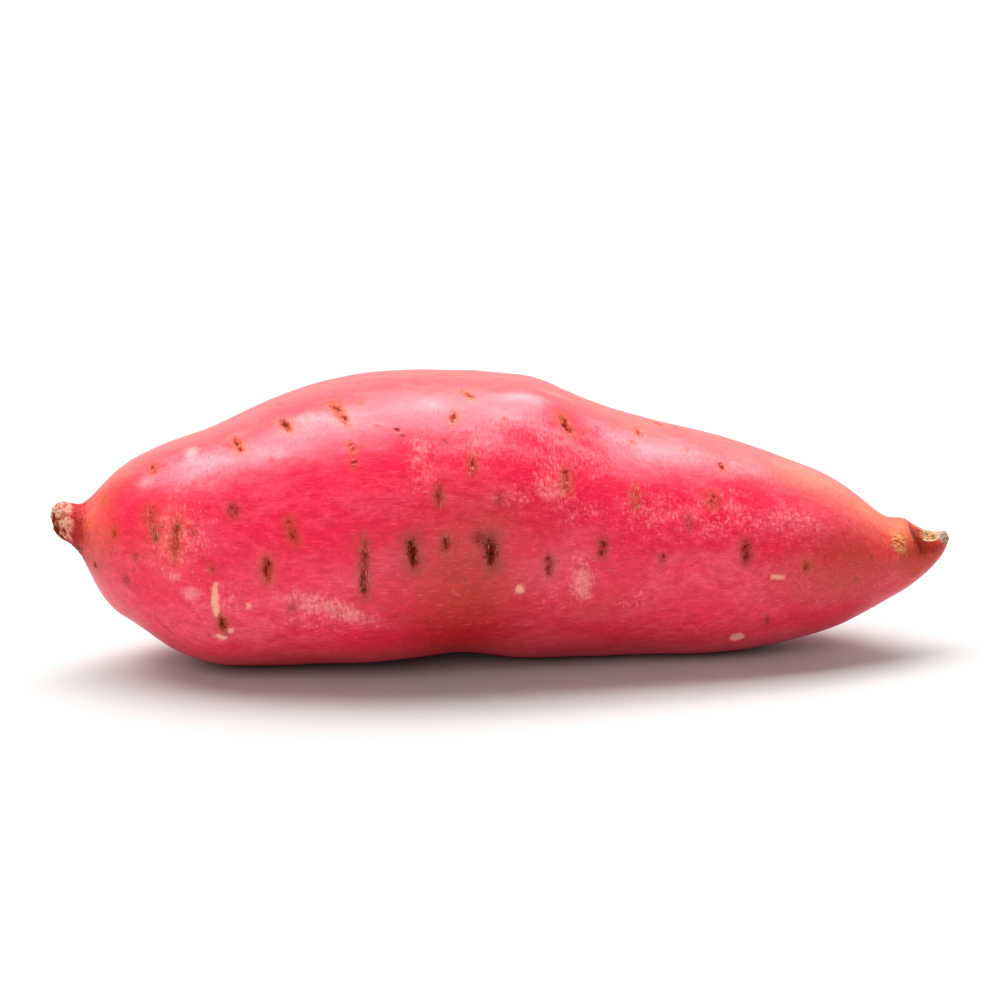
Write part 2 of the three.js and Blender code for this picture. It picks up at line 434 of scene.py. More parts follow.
# Each mark: at, turn, long around the root and wide along it in mm, lean, and how fresh (pale) it is.
markColumns = ("at", "turn", "long", "wide", "lean", "fresh")
bareMarks = [
    (0.19, 193, 6.9, 1.6, 4, 1),  # peeled stripe low on the neck lobe
    (0.191, 186, 1.4, 1.1, 0, 0.6),
    (0.195, 210, 1.4, 2.6, -15, 0.8),
    (0.206, 207, 1.4, 1.6, 10, 0.8),
    (0.226, 196, 1.2, 1, 25, 0.4),
    (0.516, 196, 2.2, 1.7, 40, 0.6),
    (0.757, 224, 3.6, 3.3, 25, 1),  # rubbed patch under the tail half
    (0.799, 182, 0.8, 3.6, -12, 0.3),
    (0.33, 40, 2.4, 4.6, 20, 0.9),  # far side
    (0.62, 332, 3.2, 1.8, 12, 0.8),
    (0.47, 300, 1.6, 3, -20, 0.7),
]

# Each zone: at, turn, reach along the root and around it in mm, lean, and strength.
skinZones = {
    "worn": [  # rubbed to pale pink specks
        (0.41, 143, 5, 9, 0, 0.75), (0.555, 152, 9, 7, 0, 0.8), (0.6, 138, 7, 5, 0, 0.55),
        (0.58, 160, 10, 4, 0, 0.6), (0.715, 150, 8, 6, 0, 0.6), (0.76, 136, 6, 5, 0, 0.5),
        (0.318, 200, 12, 3, -20, 1), (0.585, 190, 3.2, 6, 0, 1.1), (0.545, 200, 5, 4, 0, 0.5),
        (0.15, 160, 11, 11, 0, 0.62), (0.19, 190, 8, 6, 0, 0.5), (0.64, 196, 8, 4, 0, 0.45),
        (0.83, 158, 8, 5, 0, 0.35), (0.25, 30, 14, 9, 0, 0.7), (0.52, 20, 12, 10, 0, 0.8),
        (0.7, 340, 13, 8, 0, 0.7), (0.4, 300, 12, 8, 0, 0.6),
        (0.66, 152, 15, 8, 0, 0.55), (0.74, 152, 15, 9, 0, 0.6), (0.81, 150, 11, 8, 0, 0.5),
        (0.52, 158, 9, 7, 0, 0.5), (0.475, 142, 6, 6, 0, 0.5), (0.3, 208, 16, 5, -10, 0.45),
        (0.42, 60, 18, 8, 0, 0.5), (0.85, 30, 12, 8, 0, 0.5), (0.16, 330, 10, 10, 0, 0.5),
    ],
    "gleam": [  # painted highlight, a soft pale shine where the skin bulges
        (0.112, 129, 2.4, 3.4, 0, 0.45), (0.164, 189, 2.4, 1.6, 0, 0.8), (0.146, 182, 1.8, 1.2, 0, 0.6),
        (0.161, 117, 1.7, 2.6, 0, 1), (0.212, 116, 4, 1.6, 0, 0.4), (0.29, 119, 4, 2.2, 0, 0.7),
        (0.524, 111, 8, 1.7, 3, 0.62), (0.556, 101, 5, 1.4, 12, 0.5), (0.42, 118, 4, 3, 0, 0.4),
    ],
    "deep": [  # untouched crimson
        (0.29, 168, 14, 13, 0, 1), (0.38, 156, 16, 8, 0, 0.9), (0.46, 151, 8, 5, 0, 0.6),
        (0.64, 163, 10, 5, 0, 0.8), (0.27, 186, 9, 6, 0, 0.8), (0.3, 350, 22, 14, 0, 0.8),
        (0.62, 20, 20, 10, 0, 0.5), (0.35, 210, 12, 5, 0, 0.5),
    ],
    "brick": [  # duller brown red
        (0.455, 196, 16, 17, 0, 1), (0.48, 172, 14, 8, 0, 0.7), (0.88, 178, 18, 10, 0, 1),
        (0.965, 165, 9, 9, 0, 1.2), (0.59, 205, 14, 8, 0, 0.5), (0.55, 350, 30, 14, 0, 0.8),
        (0.045, 175, 5, 7, 0, 0.8), (0.062, 170, 6, 9, 0, 0.7),
    ],
    "bloom": [  # painted highlight, a thin pale veil high on the lobes
        (0.19, 128, 9, 5, 0, 0.8), (0.245, 134, 8, 3, 0, 0.7), (0.3, 126, 10, 5, 0, 0.5),
        (0.545, 131, 10, 5, 0, 0.9), (0.505, 130, 8, 5, 0, 0.6), (0.64, 122, 14, 4, 0, 0.5),
        (0.75, 118, 16, 4, 0, 0.6), (0.4, 122, 12, 5, 0, 0.1), (0.613, 119, 8, 5, 0, 0.9),
        (0.48, 138, 12, 6, 0, 0.7), (0.56, 138, 9, 6, 0, 0.8), (0.86, 112, 14, 6, 0, 0.6),
        (0.915, 108, 9, 6, 0, 0.5), (0.308, 200, 9, 2.4, -20, 0.9), (0.5, 40, 22, 9, 0, 0.5),
    ],
    "salmon": [  # paler and more orange, on the ridge towards the tail
        (0.85, 108, 16, 6, 0, 0.9), (0.91, 110, 9, 7, 0, 1), (0.945, 122, 4, 5, 0, 0.8),
        (0.048, 138, 4, 5, 0, 0.7), (0.06, 155, 4, 5, 0, 0.35),
    ],
    "polish": [  # rubbed smooth, so that it shines
        (0.165, 119, 6, 3, 0, 1), (0.3, 122, 9, 4, 0, 0.6), (0.525, 111, 8, 2.2, 4, 1),
        (0.4, 124, 10, 3, 0, 0.4), (0.66, 116, 8, 2.5, 0, 0.5),
    ],
    "belly": [  # painted shade, dark underneath where it lies
        (0.45, 222, 17, 12, 0, 1), (0.3, 232, 14, 6, 0, 0.7), (0.6, 232, 26, 7, 0, 0.7),
        (0.4, 262, 60, 16, 0, 0.8), (0.7, 262, 40, 12, 0, 0.6),
    ],
    "amber": [  # tinted salmon
        (0.06, 122, 5, 6, 0, 0.55), (0.045, 150, 2.5, 4, 0, 0.7), (0.08, 95, 9, 10, 0, 0.8),
        (0.135, 160, 7, 9, 0, 0.35), (0.9, 118, 12, 5, 0, 0.9), (0.945, 120, 5, 4, 0, 1),
        (0.22, 112, 8, 4, 0, 0.5), (0.93, 60, 14, 8, 0, 0.8), (0.95, 128, 3, 6, 0, 0.95),
        (0.86, 112, 16, 5, 0, 0.7),
    ],
    "scab": [  # rough yellow-brown patch on the tail's knob
        (0.939, 142, 1.9, 3, 0, 1.15), (0.943, 154, 1.5, 1.2, 0, 1),
    ],
    "scorch": [  # dark brown red before the torn face
        (0.964, 116, 1.6, 2, 0, 1.2), (0.967, 136, 2.2, 2.8, 0, 1.3), (0.97, 152, 3.2, 2.4, 0, 1.1),
        (0.98, 158, 3, 1.8, 0, 0.8), (0.95, 160, 2.6, 3, 0, 0.5),
    ],
    "soil": [  # painted shade, darkening the broken neck's lower side into its pits
        (0.007, 225, 1.6, 2.6, 0, 1.1), (0.006, 160, 1.1, 2.2, 0, 0.8), (0.018, 235, 3, 1.6, 0, 0.7),
    ],
    "stub": [  # dull grey green end of the tail
        (0.995, 118, 1.5, 2, 0, 1.5),
    ],
    "matt": [  # skin that has lost its shine
        (0.932, 114, 10, 8, 0, 1), (0.036, 130, 3, 6, 0, 0.9), (0.965, 140, 4, 4, 0, 0.8),
    ],
    "husk": [  # a papery flake under the neck
        (0.034, 200, 0.9, 1.5, 0, 1),
    ],
}
tornFace = {
    "middle": (0.978, 1.8, 30.4),  # share of the length, then mm to the far side and up
    "halfSizes": (4.4, 4.4, 4.2),  # mm
    "from": 0.952, "rim": 1.09, "rimReach": 0.045,  # the rim as a share of the half sizes
    "fade": (0.963, 0.972),  # shares of the length over which the torn flesh begins
}
brokenNeck = {
    "rim": 0.024, "blend": 0.004,
    "collar": 0.029, "collarReach": 0.01, "fade": 0.015,  # the dark wrinkled waist behind it
    "ragged": ((3, 0.002), (8, 0.0013), (17, 0.0009)),  # waves around the edge, and their height
}
creases = [  # at and turn along the fold before the torn face, and its reach in mm
    ((0.955, 98), (0.9568, 112), 0.60),
    ((0.9568, 112), (0.9582, 128), 1.10),
    ((0.9582, 128), (0.9615, 142), 1.05),
    ((0.9615, 142), (0.9645, 152), 0.75),
    ((0.9645, 152), (0.9655, 162), 0.45),
]


def zoneField(points, zones):
    field = np.zeros(len(points))
    for at, turn, along, around, lean, strength in zones:
        centre, upward, sideways, _ = slitFrame(at, turn, lean)
        offset = points - centre
        u, w = offset @ upward, offset @ sideways
        rest = np.linalg.norm(offset, axis=1) ** 2 - u * u - w * w
        reach = (u * u + rest) / (around * mm) ** 2 + (w / (along * mm)) ** 2
        field = np.maximum(field, strength * np.exp(-reach))
    return field


def markFields(points):
    # 1 in the middle of a bare mark, 0 at its edge and -1 well outside, and how fresh it is
    bare, fresh = np.full(len(points), -1.0), np.zeros(len(points))
    for row in bareMarks:
        mark = dict(zip(markColumns, row))
        centre, along, across, out = slitFrame(mark["at"], mark["turn"], mark["lean"])
        offset = points - centre
        u = offset @ along / (mark["long"] * mm / 2)
        w = offset @ across / (mark["wide"] * mm / 2)
        deep = offset @ out / (4 * mm)
        field = 1 - (np.abs(u) ** 2.6 + np.abs(w) ** 2.6 + deep ** 2) ** (1 / 2.6)
        better = field > bare
        bare[better], fresh[better] = field[better], mark["fresh"]
    return {"bare": bare, "fresh": fresh}


def creaseField(points):
    field = np.zeros(len(points))
    for (at0, turn0), (at1, turn1), reach in creases:
        for step in np.linspace(0, 1, 16):
            centre, _ = surfaceAt(at0 + (at1 - at0) * step, turn0 + (turn1 - turn0) * step)
            far = np.linalg.norm(points - np.array(centre), axis=1) / (reach * mm)
            field = np.maximum(field, np.exp(-far * far))
    return field


def softStep(value, start, end):
    share = np.clip((value - start) / (end - start), 0, 1)
    return share * share * (3 - 2 * share)


def endFields(points):
    # the broken neck's corky face and its wrinkled collar, the torn tail face with its rim, and the tip
    at = (points[:, 0] - lowest.x) / rootLength
    y, z = midAt(points[:, 0])
    turn = np.arctan2(points[:, 2] - z, points[:, 1] - y)
    wander = np.zeros(len(points))
    for waves, height in brokenNeck["ragged"]:
        wander += height * np.sin(turn * waves + waves)
    frayed = at + wander
    neck = softStep(frayed, brokenNeck["rim"] + brokenNeck["blend"], brokenNeck["rim"] - brokenNeck["blend"])
    behind = frayed - brokenNeck["collar"]
    collar = np.exp(-(behind / np.where(behind > 0, brokenNeck["fade"], brokenNeck["collarReach"])) ** 2)
    collar = collar * (1 - neck)
    share, y, z = tornFace["middle"]
    middle = np.array((lowest.x + share * rootLength, y * mm, z * mm))
    ball = np.linalg.norm((points - middle) / (np.array(tornFace["halfSizes"]) * mm), axis=1)
    back = at > tornFace["from"]
    begun = softStep(at, *tornFace["fade"])
    torn = softStep(ball, tornFace["rim"] + 0.03, tornFace["rim"] - 0.03) * back * begun
    rim = np.exp(-((ball - tornFace["rim"]) / tornFace["rimReach"]) ** 2) * back * begun
    return {"neck": neck, "collar": collar, "torn": torn, "rim": rim}


def shadeFields(points):
    # the skin's zones, with the salmon tint that runs along the whole back
    fields = {name: zoneField(points, zones) for name, zones in skinZones.items()}
    y, z = midAt(points[:, 0])
    turn = np.degrees(np.arctan2(points[:, 2] - z, points[:, 1] - y)) % 360
    back = 0.75 * np.exp(-((turn - 84) / 26) ** 2)
    fields["amber"] = np.maximum(fields["amber"], back)
    return fields


def store(mesh, fields):
    for name, values in fields.items():
        layer = mesh.attributes.new(name, "FLOAT", "POINT")
        layer.data.foreach_set("value", np.asarray(values, dtype=np.float32))


def wantedEdge(points):
    # the edge length that each place needs, in metres
    scarred = scarFields(points, scars)
    marked = markFields(points)["bare"]
    ends = endFields(points)
    fine = (scarred["speck"] > 0.12) | (ends["neck"] + ends["torn"] + ends["collar"] > 0.3)
    fine |= creaseField(points) > 0.25
    wanted = np.full(len(points), 1.0)
    wanted[marked > -0.35] = skinMesh["markEdge"] * mm
    wanted[fine] = skinMesh["fineEdge"] * mm
    return wanted


relief = {
    "Lump Size": 15.0 * mm, "Lump Height": 0.34 * mm,  # soft unevenness of the flesh
    "Ripple Size": 3.2 * mm, "Ripple Height": 0.05 * mm,  # faint ripples across the root
    "Scar Depth": 0.45 * mm, "Scar Lip": 0.07 * mm, "Cork Grain": 0.55 * mm,
    "Scar Raggedness": 1.3, "Mark Raggedness": 0.8, "Mark Depth": 0.14 * mm,
    "Neck Lump Size": 1.9 * mm, "Neck Lump Height": 0.5 * mm, "Neck Lump Share": 0.44,
    "Wrinkle Height": 0.16 * mm, "Wrinkle Gap": 0.85 * mm, "Wrinkle Wander": 2.6 * mm,
    "Torn Grain": 0.7 * mm, "Torn Height": 0.32 * mm, "Husk Height": 0.5 * mm,
    "Crease Depth": 0.3 * mm,
}


def reliefGroup():
    # raises and sinks the skin's own lumps, scars, marks and broken ends from its attributes
    group, tree, dial = geometryGroup("skinRelief", {**relief, "Material": None})

    def level(name):
        return tree.add("GeometryNodeInputNamedAttribute", {"data_type": "FLOAT"}, {"Name": name})

    place = tree.add("GeometryNodeInputPosition")
    normal = tree.add("GeometryNodeInputNormal")
    stretched = tree.add("ShaderNodeVectorMath", {"operation": "MULTIPLY"}, {0: place, 1: (0.5, 1.0, 1.0)})
    alongRoot = tree.add("ShaderNodeSeparateXYZ", None, {0: place})

    lumps = tree.noise(place, dial("Lump Size"), 1.0) - 0.5
    ripples = tree.noise(stretched, dial("Ripple Size"), 3.0) - 0.5
    grain = tree.noise(place, dial("Cork Grain"), 2.0) - 0.5
    ragged = level("speck") + grain * dial("Scar Raggedness")
    cork = tree.smooth(ragged, 0.48, 0.9)
    lip = tree.smooth(ragged, 0.1, 0.4) * (1 - cork)
    bare = tree.smooth(level("bare") + grain * dial("Mark Raggedness"), -0.03, 0.18)
    knobs = tree.noise(place, dial("Neck Lump Size"), 3.0, 0.6) - dial("Neck Lump Share")
    wandered = alongRoot + knobs * dial("Wrinkle Wander")
    rings = tree.maths("SINE", wandered * (2 * math.pi) / dial("Wrinkle Gap"))
    shreds = tree.noise(place, dial("Torn Grain"), 3.0, 0.65) - 0.5
    whole = (1 - level("neck")) * (1 - level("torn"))

    height = (lumps * dial("Lump Height") * 2 + ripples * dial("Ripple Height") * 2) * whole
    height = height + cork * (grain * 1.5 - 0.75) * dial("Scar Depth") + lip * dial("Scar Lip")
    height = height - bare * dial("Mark Depth")
    height = height + level("neck") * knobs * dial("Neck Lump Height") * 2
    height = height + level("collar") * rings * dial("Wrinkle Height")
    height = height + level("husk") * grain * dial("Husk Height")
    rough = tree.maths("MAXIMUM", level("torn"), tree.maths("MAXIMUM", level("stub"), level("scab") * 0.6))
    height = height + rough * shreds * dial("Torn Height") * 2
    height = height - level("crease") * dial("Crease Depth")

    inner = dial("Geometry")
    for name, value in (("cork", cork), ("lip", lip), ("bareSkin", bare), ("knob", knobs), ("shred", shreds)):
        sockets = {"Geometry": inner, "Name": name, "Value": value}
        settings = {"data_type": "FLOAT", "domain": "POINT"}
        inner = tree.add("GeometryNodeStoreNamedAttribute", settings, sockets)
    offset = tree.add("ShaderNodeVectorMath", {"operation": "SCALE"}, {0: normal, "Scale": height})
    raised = tree.add("GeometryNodeSetPosition", None, {"Geometry": inner, "Offset": offset})

    # nothing sinks below the surface that the root rests on
    parts = tree.add("ShaderNodeSeparateXYZ", None, {0: place}).socket.node.outputs
    up = tree.maths("MAXIMUM", Wire(tree, parts["Z"]), 0.0)
    settled = tree.add("ShaderNodeCombineXYZ", None, {
        "X": Wire(tree, parts["X"]), "Y": Wire(tree, parts["Y"]), "Z": up})
    rested = tree.add("GeometryNodeSetPosition", None, {"Geometry": raised, "Position": settled})
    plain = tree.add("GeometryNodeRealizeInstances", None, {"Geometry": rested})
    smooth = tree.add("GeometryNodeSetShadeSmooth", None, {"Geometry": plain})
    finished = tree.add("GeometryNodeSetMaterial", None, {"Geometry": smooth, "Material": dial("Material")})
    tree.add("NodeGroupOutput", None, {"Geometry": finished})
    return group


scarCrumbs = {
    "Mask": "cork", "Density": 4.0e6, "Size": 0.11 * mm, "Spread": 0.5, "Flatness": 0.5,
    "Lift": -0.03 * mm, "Seed": 3, "Shortest": 0.9, "Longest": 2.2, "Jaggedness": 0.9,
}
neckCrumbs = {
    "Mask": "neck", "Density": 1.2e6, "Size": 0.26 * mm, "Spread": 0.6, "Flatness": 0.45,
    "Lift": -0.06 * mm, "Seed": 8, "Shortest": 0.9, "Longest": 2.2, "Jaggedness": 0.9,
}
tailCrumbs = {
    "Mask": "crumbly", "Density": 1.6e6, "Size": 0.2 * mm, "Spread": 0.6, "Flatness": 0.45,
    "Lift": -0.05 * mm, "Seed": 21, "Shortest": 0.9, "Longest": 2.2, "Jaggedness": 0.9,
}


def crumbGroup():
    # angular crumbs of cork scattered where a mask is strong, pressed flat against the skin
    group, tree, dial = geometryGroup("corkCrumbs", {**scarCrumbs, "Material": None})
    mask = tree.add("GeometryNodeInputNamedAttribute", {"data_type": "FLOAT"}, {"Name": dial("Mask")})
    strong = tree.smooth(mask, 0.35, 0.9)
    points = tree.add("GeometryNodeDistributePointsOnFaces", None, {
        "Mesh": dial("Geometry"), "Density": dial("Density") * strong, "Seed": dial("Seed")})
    spread = points.socket.node.outputs
    outward = tree.add("ShaderNodeVectorMath", {"operation": "SCALE"}, {
        0: Wire(tree, spread["Normal"]), "Scale": dial("Lift")})
    pressed = tree.add("GeometryNodeSetPosition", None, {"Geometry": points, "Offset": outward})
    bead = tree.add("GeometryNodeMeshIcoSphere", None, {"Radius": 1.0, "Subdivisions": 1})
    spin = tree.add("FunctionNodeRandomValue", {"data_type": "FLOAT_VECTOR"}, {
        0: (-0.5, -0.5, 0.0), 1: (0.5, 0.5, 2 * math.pi), "Seed": dial("Seed")})
    turned = tree.add("FunctionNodeEulerToRotation", None, {0: spin})
    pose = tree.add("FunctionNodeRotateRotation", {"rotation_space": "LOCAL"}, {
        0: Wire(tree, spread["Rotation"]), 1: turned})
    size = tree.add("FunctionNodeRandomValue", {"data_type": "FLOAT"}, {
        2: 1 - dial("Spread"), 3: 1 + dial("Spread"), "Seed": dial("Seed") + 1}, give=1)
    long = tree.add("FunctionNodeRandomValue", {"data_type": "FLOAT"}, {
        2: dial("Shortest"), 3: dial("Longest"), "Seed": dial("Seed") + 2}, give=1)
    size = size * dial("Size")
    scale = tree.add("ShaderNodeCombineXYZ", None, {
        "X": size * long, "Y": size, "Z": size * dial("Flatness")})
    crumbs = tree.add("GeometryNodeInstanceOnPoints", None, {
        "Points": pressed, "Instance": bead, "Rotation": pose, "Scale": scale})
    tone = tree.add("FunctionNodeRandomValue", {"data_type": "FLOAT"}, {
        2: 0.0, 3: 1.0, "Seed": dial("Seed") + 3}, give=1)
    toned = tree.add("GeometryNodeStoreNamedAttribute", {"data_type": "FLOAT", "domain": "INSTANCE"}, {
        "Geometry": crumbs, "Name": "tone", "Value": tone})
    plain = tree.add("GeometryNodeRealizeInstances", None, {"Geometry": toned})

    # ragged corners
    place = tree.add("GeometryNodeInputPosition")
    jag = tree.add("ShaderNodeTexNoise", None, {
        "Vector": place, "Scale": 1.0 / dial("Size"), "Detail": 1.0}, give=1)
    shift = tree.add("ShaderNodeVectorMath", {"operation": "SUBTRACT"}, {0: jag, 1: (0.5, 0.5, 0.5)})
    shift = tree.add("ShaderNodeVectorMath", {"operation": "SCALE"}, {
        0: shift, "Scale": dial("Size") * dial("Jaggedness")})
    ragged = tree.add("GeometryNodeSetPosition", None, {"Geometry": plain, "Offset": shift})
    flat = tree.add("GeometryNodeSetShadeSmooth", None, {"Geometry": ragged, "Shade Smooth": False})
    finished = tree.add("GeometryNodeSetMaterial", None, {"Geometry": flat, "Material": dial("Material")})
    tree.add("NodeGroupOutput", None, {"Geometry": finished})
    return group


skinTones = {
    "crimson": "#ec1c44", "rose": "#f04460", "deep": "#f20c40", "streak": "#b00c30", "fleck": "#fa8f94",
    # bloom is a painted highlight veil
    "brick": "#c43024", "amber": "#ee5e48", "worn": "#f68e88", "bloom": "#ffb8c0", "salmon": "#ff8a64",
    # gleam is a painted highlight
    # the belly tone is painted shade underneath
    "belly": "#b20a0c", "gleam": "#ffdcdc",
    "olive": "#8a3826", "rustStain": "#e45c22", "seep": "#84190a", "rustSeep": "#b43a0c",
    "bare": "#f8aa90", "oldBare": "#e88c76",
    "cork": "#6e1a06", "corkDark": "#461206", "corkFleck": "#cc8a68", "rustCork": "#7e2008",
    "neckCork": "#dca08a", "neckSkin": "#c46852", "neckPit": "#6a180e", "collar": "#9a1810",
    "scab": "#d8a066", "scabPit": "#8a3414", "scorch": "#8a2412", "husk": "#6a4038",
    "torn": "#c09468", "tornDark": "#70401f", "rim": "#ecc8a0", "tip": "#b6a892", "tipDark": "#7c684e",
    # crease is painted shade along the tail's fold
    "crease": "#701a0c",
}
skinPatterns = {  # size in mm, and stretch: below 1 draws it out, along the root first, then around it
    "cloud": (24.0, (0.6, 1.0, 1.0)), "mottle": (9.0, (0.45, 1.0, 1.0)), "dapple": (1.7, (0.6, 1.0, 1.0)),
    "streak": (0.4, (0.13, 1.0, 1.0)), "fleck": (0.5, (1.0, 0.35, 0.35)), "pin": (0.62, (0.85, 0.7, 0.7)),
    "fibre": (0.36, (1.0, 0.2, 0.2)), "grain": (0.42, (1.0, 1.0, 1.0)),
}
cloudedZones = {  # main and second pattern, the second's share, where it starts and ends, least, strength
    "amber": ("cloud", "dapple", 0.7, (0.25, 0.6), 0.55, 1.0),
    "brick": ("mottle", "fleck", 0.6, (0.25, 0.55), 0.55, 1.0),
    # bloom is a painted highlight veil
    "bloom": ("mottle", "fleck", 0.8, (0.3, 0.7), 0.0, 0.42),
}
raggedZones = {  # each pattern's share in breaking up its edge, where it starts and ends, and strength
    # gleam is a painted highlight
    "gleam": ({"grain": 0.3, "fleck": 0.4}, (0.0, 1.2), 0.42),
    "halo": ({"fleck": 0.5}, (0.0, 1.1), 0.68),
    "seep": ({"fibre": 1.6, "grain": 0.8}, (0.15, 0.95), 1.0),
    "collar": ({"fibre": 1.7, "fleck": 0.9}, (0.1, 1.05), 0.85),
    "husk": ({"grain": 1.8, "pin": 1.2}, (0.3, 0.8), 0.8),
    "scab": ({"grain": 1.6, "pin": 1.4}, (0.05, 1.05), 0.78),
    "scorch": ({"fleck": 1.4, "pin": 1.4}, (0.0, 1.2), 0.9),
    "rim": ({"fleck": 0.8}, (0.35, 0.85), 1.0),
    "stub": ({"grain": 0.8}, (0.3, 0.9), 0.95),
    "crease": ({"grain": 0.7, "pin": 0.5}, (0.1, 1.1), 0.85),
}
finish = {
    "worn": 0.75, "salmon": 0.55, "belly": 0.85,  # how strongly each zone tints the skin, the belly's dark being painted shade
    "streaks": 0.38, "paleStreaks": 0.2, "pins": 0.07,  # and the patterns that lie all over it
    "grainShade": 0.4, "dappleShade": 0.5, "pinShade": 0.2,
    "paleDots": 0.9, "soil": 0.75,  # dry flecks of the scars, and painted shade in the pits of the neck's lower side
    "ripple": 2.4, "bump": 0.5, "bumpHeight": 0.09,  # size and height in mm
    "roughness": 0.34, "unevenness": 0.2, "grainRoughness": 0.12, "smoothest": 0.14,
    # polish and the painted highlight's zone lower the roughness
    "polish": 0.14, "gleam": 0.1, "wornRoughness": 0.12,
    "corkRoughness": 0.85, "ior": 1.45, "corkIor": 1.15,
    # how far the collar and the painted shade underneath lose their shine
    "dullCollar": 0.7, "dullBellyPaintedShade": 0.6,
}
bumpShares = {"grain": 0.4, "fleck": 0.45, "streak": 0.3, "ripple": 0.9, "dapple": 0.4, "pin": 0.3}


def newMaterial(name):
    material = bpy.data.materials.new(name)
    material.use_nodes = True
    return material, NodeTree(material.node_tree)


def level(tree, name):
    return tree.add("ShaderNodeAttribute", {"attribute_name": name}, give=2)


def summed(noises, shares):
    # these patterns added together, each around zero and by its share
    total = 0.0
    for name, share in shares.items():
        total = total + (noises[name] - 0.5) * share
    return total


def ragged(tree, name, noises):
    # how strong a zone is, with its edge broken up; nothing shows where the zone isn't
    shares, ends, strength = raggedZones[name]
    zone = level(tree, name)
    return tree.smooth(zone + summed(noises, shares) * tree.smooth(zone, 0.0, 0.25), *ends) * strength


def clouded(tree, name, noises):
    # how strong a zone is, thinned in soft clouds
    main, second, share, ends, least, strength = cloudedZones[name]
    clouds = noises[main] + (noises[second] - 0.5) * share
    return level(tree, name) * tree.smooth(clouds, *ends, least) * strength


def patterned(tree, size, stretch=(1.0, 1.0, 1.0), detail=3.0, roughness=0.6):
    # noise in the object's own space
    place = tree.add("ShaderNodeTexCoord", give=3)
    place = tree.add("ShaderNodeMapping", None, {"Vector": place, "Scale": stretch})
    return tree.noise(place, size * mm, detail, roughness)


def skinColour(tree, tones, noises):
    # the living skin: crimson clouded with rose, worn, stained and tinted by zone, with painted highlights
    # high up and painted shade underneath
    mottle, streak, pin = noises["mottle"], noises["streak"], noises["pin"]
    clouds = mottle + (noises["dapple"] - 0.5) * 0.45
    colour = tree.mix(tree.smooth(clouds, 0.38, 0.7), tones["crimson"], tones["rose"])
    colour = tree.mix(level(tree, "deep") * tree.smooth(clouds, 0.7, 0.35, 0.55), colour, tones["deep"])
    # amber and brick tint the skin; bloom paints a pale highlight veil
    for name in cloudedZones:
        colour = tree.mix(clouded(tree, name, noises), colour, tones[name])
    colour = tree.mix(level(tree, "salmon") * finish["salmon"], colour, tones["salmon"])
    speckle = (clouds - 0.5) * 0.9 + summed(noises, {"fleck": 0.9, "pin": 1.5})
    rubbed = level(tree, "worn")
    worn = tree.smooth(rubbed + tree.smooth(rubbed, 0.0, 0.3, 0.3, 1.0) * speckle, 0.4, 1.15)
    colour = tree.mix(worn * finish["worn"], colour, tones["worn"])
    # painted shade underneath, where it lies
    colour = tree.mix(level(tree, "belly") * finish["belly"], colour, tones["belly"])
    colour = tree.mix(tree.smooth(streak, 0.54, 0.72) * finish["streaks"], colour, tones["streak"])
    colour = tree.mix(tree.smooth(streak, 0.44, 0.3) * finish["paleStreaks"], colour, tones["fleck"])
    pins = tree.smooth(pin + (mottle - 0.5) * 0.4, 0.6, 0.76)
    colour = tree.mix(pins * finish["pins"], colour, tones["fleck"])
    # painted highlight where the skin bulges
    colour = tree.mix(ragged(tree, "gleam", noises), colour, tones["gleam"])
    shade = 1 + summed(noises, {name: finish[name + "Shade"] for name in ("grain", "dapple", "pin")})
    return tree.mix(1.0, colour, shade, "MULTIPLY"), worn


def scarColour(tree, tones, colour, noises):
    # a wide stain, a dark fibrous seep along the slit, and the cork with dark dots and paler flecks
    grain, fibre = noises["grain"], noises["fibre"]
    rust, dark, dry, slit = (level(tree, name) for name in ("rust", "dark", "dry", "seep"))
    stain = tree.mix(rust, tones["olive"], tones["rustStain"])
    colour = tree.mix(ragged(tree, "halo", noises), colour, stain)
    seep = ragged(tree, "seep", noises)
    colour = tree.mix(seep * (0.14 + dark * 0.8), colour, tree.mix(rust, tones["seep"], tones["rustSeep"]))
    corky = tree.smooth(grain + (fibre - 0.5) * 0.6, 0.35, 0.6)
    cork = tree.mix(rust * 0.8, tree.mix(corky, tones["corkDark"], tones["cork"]), tones["rustCork"])
    colour = tree.mix(level(tree, "cork") * (0.45 + dark * 0.55), colour, cork)
    dots = tree.smooth(grain + (fibre - 0.5) * 0.4, 0.53, 0.64) * tree.smooth(slit, 0.12, 0.5)
    colour = tree.mix(dots * (0.2 + dark * 0.7), colour, tones["corkDark"])
    flecks = tree.smooth(fibre + dry * 0.12, 0.6, 0.7) * tree.smooth(slit, 0.1, 0.5)
    return tree.mix(flecks * dry * finish["paleDots"], colour, tones["corkFleck"]), seep * dark


